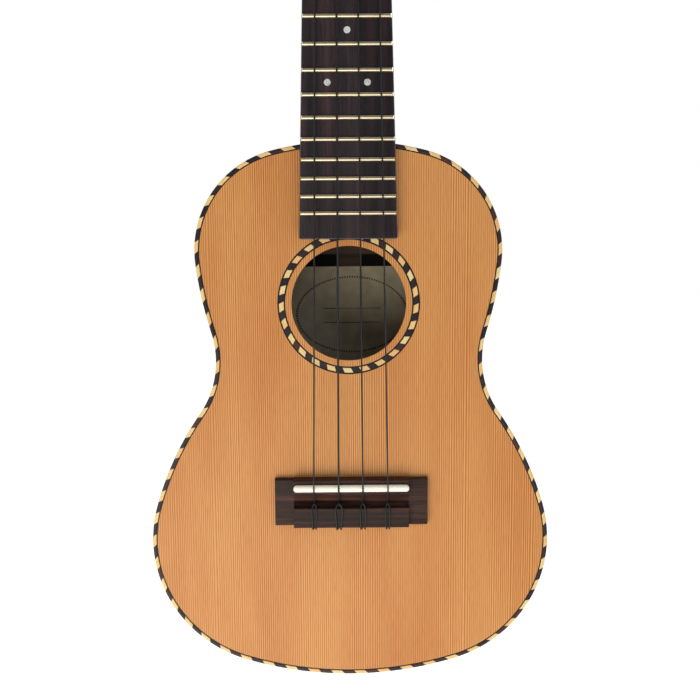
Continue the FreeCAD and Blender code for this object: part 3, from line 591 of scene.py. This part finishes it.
# a quadratic B-spline: each point pulls one parabola that joins the middles of its two runs
def smoothLine(points, perRun):
    p = np.asarray(points, float)
    mids = (p[:-1] + p[1:]) / 2
    mids[0], mids[-1] = p[0], p[-1]
    t = np.linspace(0, 1, perRun, endpoint=False)[None, :, None]
    curve = (1 - t) ** 2 * mids[:-1, None] + 2 * t * (1 - t) * p[1:-1, None] + t ** 2 * mids[1:, None]
    return np.concatenate([curve.reshape(-1, 3), p[-1:]])


# a round section carried along a line with domed ends; its frame turns as little as it can, so
# each step of the frame needs the one before
def makeTube(name, line, radius, sides, body, standsFor):
    tangent = np.gradient(line, axis=0)
    tangent /= np.linalg.norm(tangent, axis=1, keepdims=True)
    anyAside = [0.31, 0.88, 0.23]      # a direction that no string runs along
    normal = np.cross(tangent, anyAside)
    for k in range(1, len(line)):
        normal[k] = normal[k - 1] - tangent[k] * (normal[k - 1] @ tangent[k])
        normal[k] /= np.linalg.norm(normal[k])
    normal[0] /= np.linalg.norm(normal[0])
    side = np.cross(tangent, normal)
    angle = (np.arange(sides) / sides * 2 * np.pi)[None, :, None]
    ring = normal[:, None] * np.cos(angle) + side[:, None] * np.sin(angle)
    dome = np.radians([88, 60, 30])[:, None, None]
    front = line[0] - tangent[0] * radius * np.sin(dome) + radius * ring[0][None] * np.cos(dome)
    rear = line[-1] + tangent[-1] * radius * np.sin(dome) + radius * ring[-1][None] * np.cos(dome)
    rows = np.concatenate([front, line[:, None] + radius * ring, rear[::-1]])
    faces = gridFaces(len(rows), sides, False, True)
    faces += [list(range(sides)), list(range((len(rows) - 1) * sides, len(rows) * sides))]
    makePiece(name, rows, faces, [nylon], body, standsFor)


strings = {
    "diameters": [0.75, 0.95, 0.85, 0.75], "nutSpread": 26.3, "saddlePlaces": [-18.0, -5.65, 6.4, 18.85],
    "nutTop": 7.9, "nutAt": 1.5, "saddleTop": 9.06, "saddleAt": -382.25, "sides": 14, "perRun": 7,
    "bends": (1.5, 1.2, 1.0),          # half the bend at the nut, the saddle and the tie hole
}
tieBlock = {
    "top": 6.1, "front": -392.2, "rear": -402.2, "hole": 2.5, "gapOver": 0.12, "gapBehind": 0.2,
    "spreadFront": [1.25, 1.9, 1.45, 1.2], "spreadRear": [0.8, 1.1, 1.1, 0.8],
}
winding = {
    "level": -5.6, "turns": 3, "pitch": 1.04, "lead": 0.12, "gap": 0.02, "steps": 110, "sides": 10,
}
tail = {"level": -9.4, "before": 2.0, "after": 1.4, "droop": 0.10, "radius": 0.45, "steps": 14}


# the point a given distance from a towards b
def towards(a, b, distance):
    return a + (b - a) / np.linalg.norm(b - a) * distance


# the string's route: post, nut, saddle, tie hole, up behind the tie block, forward over it, round
# under the string in a narrow loop, and back over the block
def makeString(index):
    radius = strings["diameters"][index] / 2
    place = index / 3 - 0.5
    post, height = head["posts"][index]
    x = strings["saddlePlaces"][index]
    arrivalX = post - math.copysign(head["postRadius"] + radius, post)
    arrival = onHead([arrivalX, winding["level"], height]) / mm
    nut = np.array([strings["nutSpread"] * place, -strings["nutTop"], strings["nutAt"]])
    over = np.array([x, -strings["saddleTop"] - radius, strings["saddleAt"]])
    down = np.array([x, -tieBlock["hole"], tieBlock["front"]])
    front, rear = tieBlock["spreadFront"][index], tieBlock["spreadRear"][index]
    top = -tieBlock["top"] - radius - tieBlock["gapOver"]
    behind = tieBlock["rear"] - radius - tieBlock["gapBehind"]
    hole, lip = -tieBlock["hole"], tieBlock["front"]
    atNut, atSaddle, atHole = strings["bends"]
    route = [
        arrival,
        towards(nut, arrival, atNut), nut, towards(nut, over, atNut),
        towards(over, nut, atSaddle), over, towards(over, down, atSaddle),
        towards(down, over, atHole), down,
        [x, hole, lip - 1.5],
        [x, hole, behind + 1.0],
        [x, hole - 0.1, behind - 0.1],
        [x - 0.6 * rear, -4.0, behind - 0.1],
        [x - rear, top - 0.2, behind],
        [x - rear, top - 0.15, behind + 1.4],
        [x - 0.5 * (front + rear), top, lip - 4.5],
        [x - front, top, lip - 1.2],
        [x - 0.75 * front, top + 0.25, lip + 0.9],
        [x - 0.3, top + 0.7, lip + 2.3],
        [x + 0.3, top + 0.7, lip + 2.3],
        [x + 0.75 * front, top + 0.25, lip + 0.9],
        [x + front, top, lip - 1.2],
        [x + 0.5 * (front + rear), top, lip - 4.5],
        [x + rear, top - 0.15, behind + 1.4],
        [x + rear, top - 0.2, behind],
        [x + 0.8 * rear, -4.4, behind - 0.1],
    ]
    line = smoothLine(np.array(route) * mm, strings["perRun"])
    makeTube(
        f"string_line_{index + 1}", line, radius * mm, strings["sides"], "instrument",
        f"string_{index + 1}",
    )


# a helix round the post that starts where the string arrives, and the end put through the post
def makeWinding(index):
    radius = strings["diameters"][index] / 2
    post, height = head["posts"][index]
    side = math.copysign(1, post)
    reach = head["postRadius"] + radius + winding["gap"]
    t = np.linspace(-winding["lead"], winding["turns"], winding["steps"])
    angle = math.pi * (side > 0) - side * 2 * math.pi * t
    level = winding["level"] - np.clip(t, 0, None) * 2 * radius * winding["pitch"]
    coil = onHead(np.stack([post + reach * np.cos(angle), level, height + reach * np.sin(angle)], -1))
    makeTube(
        f"string_coil_{index + 1}", coil, radius * mm, winding["sides"], f"post_{index + 1}",
        f"string_winding_{index + 1}",
    )
    first, last = -head["postRadius"] - tail["before"], head["postRadius"] + tail["after"]
    across = np.linspace(first, last, tail["steps"])
    droop = tail["droop"] * np.clip(np.abs(across) - head["postRadius"], 0, None) ** 2
    end = onHead(np.stack([post - side * across, tail["level"] + droop, height + 0 * across], -1))
    makeTube(
        f"string_tail_{index + 1}", end, min(radius, tail["radius"]) * mm, winding["sides"],
        f"post_{index + 1}", f"string_winding_{index + 1}",
    )


for index in range(4):
    makeString(index)
    makeWinding(index)
print("strings")

button = {
    "start": 34.0, "length": 14.0, "halfHigh": 7.0, "halfThick": 3.2, "stem": 2.9, "level": 17.2,
    "drop": 6.65, "square": 2.6, "stemShare": 0.26, "fullHigh": 0.9, "fullThick": 0.5,
    "steps": 37, "sides": 44,
}


# a superellipse section carried along the worm's shaft: its half height and half thickness follow
# an oval, blended near the start into the round stem
def makeButton(index):
    look = button
    post, height = head["posts"][index]
    side = math.copysign(1, post)
    u = (1 - np.cos(np.linspace(0, np.pi, look["steps"]))) / 2
    swell = np.sqrt(np.clip(1 - (2 * u - 1) ** 2, 0, 1))
    fade = np.clip(1 - u / look["stemShare"], 0, 1)
    stem = look["stem"] * fade * fade * (3 - 2 * fade)
    high = np.maximum(look["halfHigh"] * swell ** look["fullHigh"], stem)
    thick = np.maximum(look["halfThick"] * swell ** look["fullThick"], stem)
    high[-1], thick[-1] = 0, 0
    turn = np.linspace(0, 2 * np.pi, look["sides"], endpoint=False)
    c, s = np.cos(turn), np.sin(turn)
    power = 2 / look["square"]
    y = look["level"] + thick[:, None] * (np.sign(c) * np.abs(c) ** power)[None]
    z = height - look["drop"] + high[:, None] * (np.sign(s) * np.abs(s) ** power)[None]
    x = side * (look["start"] + u * look["length"])[:, None] + 0 * y
    faces = gridFaces(len(u), len(turn), False, True) + [list(range(len(turn)))]
    points = onHead(np.stack([x, y, z], -1))
    makePiece(
        f"finger_button_{index + 1}", points, faces, [acetate], f"knob_{index + 1}",
        f"button_{index + 1}",
    )


for index in range(4):
    makeButton(index)
print("finger buttons")

stage = {
    "floor": -1300 * mm, "half": 14.0,
    "floorGlow": 0.6, "glowFrom": -0.8, "glowTo": 1.3,
    "skyFront": 0.22, "skyBack": 1.0, "skyFrom": -0.6, "skyTo": 0.75,
}
view = {
    "place": (-1.5 * mm, -450 * mm, -257 * mm), "pitch": 7.07, "yaw": 0.25, "roll": -0.37,
    "lens": 46.91, "sensor": 36, "clip": 0.01,
}
lights = {
    "key": {
        "place": (-0.24, -0.60, -0.74), "aim": (0, 0, -0.38), "size": 0.75, "power": 3.7,
        "colour": "fff6e8",
    },
    "fill": {"place": (0.9, -1.2, 0.3), "aim": (0, 0, -0.3), "size": 1.2, "power": 3.2, "colour": "f2f6ff"},
    "back": {"place": (0.7, 1.5, 0.4), "aim": (0, 0, -0.2), "size": 1.0, "power": 14.0, "colour": "ffffff"},
}


# a flat pale floor well below the hanging instrument, glowing softly only behind it
def floorNodes(add):
    coords = add("TexCoord")
    place = add("SeparateXYZ", {}, {"Vector": (coords, "Object")})
    glow = add(
        "MapRange",
        {
            "interpolation_type": "SMOOTHSTEP", "From Min": stage["glowFrom"], "From Max": stage["glowTo"],
            "To Min": 0.0, "To Max": stage["floorGlow"],
        },
        {"Value": (place, "Y")},
    )
    return {"Emission Strength": glow}


# one square face at the floor's level
def makeFloor():
    half = stage["half"]
    corners = np.array([[-half, -half], [half, -half], [half, half], [-half, half]])
    mesh = bpy.data.meshes.new("floor")
    mesh.from_pydata(np.column_stack([corners, np.full(4, stage["floor"])]).tolist(), [], [(0, 1, 2, 3)])
    pale = {"Base Color": toLinear("fafafa"), "Roughness": 0.9, "Emission Color": toLinear("ffffff")}
    mesh.materials.append(newMaterial("white paper sweep", pale, floorNodes))
    floor = bpy.data.objects.new("floor", mesh)
    bpy.context.scene.collection.objects.link(floor)


# soft round lamps
def makeLights():
    for name, look in lights.items():
        light = bpy.data.lights.new(name, "AREA")
        light.shape = "DISK"
        light.size = look["size"]
        light.energy = look["power"]
        light.color = toLinear(look["colour"])[:3]
        lamp = bpy.data.objects.new(name, light)
        bpy.context.scene.collection.objects.link(lamp)
        lamp.location = look["place"]
        beam = Vector(look["aim"]) - Vector(look["place"])
        lamp.rotation_euler = beam.to_track_quat("-Z", "Y").to_euler()


# white behind the instrument, dimmer in front of it
def makeWorld():
    world = bpy.data.worlds.new("studio")
    world.use_nodes = True
    tree = world.node_tree
    tree.nodes.clear()
    coords = addNode(tree, "TexCoord")
    place = addNode(tree, "SeparateXYZ", {}, {"Vector": (coords, "Generated")})
    sky = addNode(
        tree, "MapRange",
        {
            "interpolation_type": "SMOOTHSTEP", "From Min": stage["skyFrom"], "From Max": stage["skyTo"],
            "To Min": stage["skyFront"], "To Max": stage["skyBack"],
        },
        {"Value": (place, "Y")},
    )
    glow = addNode(tree, "Background", {"Color": toLinear("ffffff")}, {"Strength": sky})
    addNode(tree, "OutputWorld", {}, {"Surface": glow})
    bpy.context.scene.world = world


# pitched down, turned and rolled a little: the axes of the view written out as a matrix
def makeCamera():
    pitch, yaw, roll = (math.radians(view[key]) for key in ("pitch", "yaw", "roll"))
    forward = Vector((math.sin(yaw) * math.cos(pitch), math.cos(yaw) * math.cos(pitch), -math.sin(pitch)))
    right = Vector((math.cos(yaw), -math.sin(yaw), 0))
    up = right.cross(forward)
    rolledRight = math.cos(roll) * right + math.sin(roll) * up
    rolledUp = math.cos(roll) * up - math.sin(roll) * right
    camera = bpy.data.cameras.new("camera")
    camera.lens = view["lens"]
    camera.sensor_width = view["sensor"]
    camera.clip_start = view["clip"]
    holder = bpy.data.objects.new("camera", camera)
    bpy.context.scene.collection.objects.link(holder)
    turned = Matrix((rolledRight, rolledUp, -forward)).transposed().to_4x4()
    holder.matrix_world = Matrix.Translation(view["place"]) @ turned
    bpy.context.scene.camera = holder


makeFloor()
makeLights()
makeWorld()
makeCamera()
bpy.context.scene.view_settings.view_transform = "Standard"
print("stage, lights and camera")
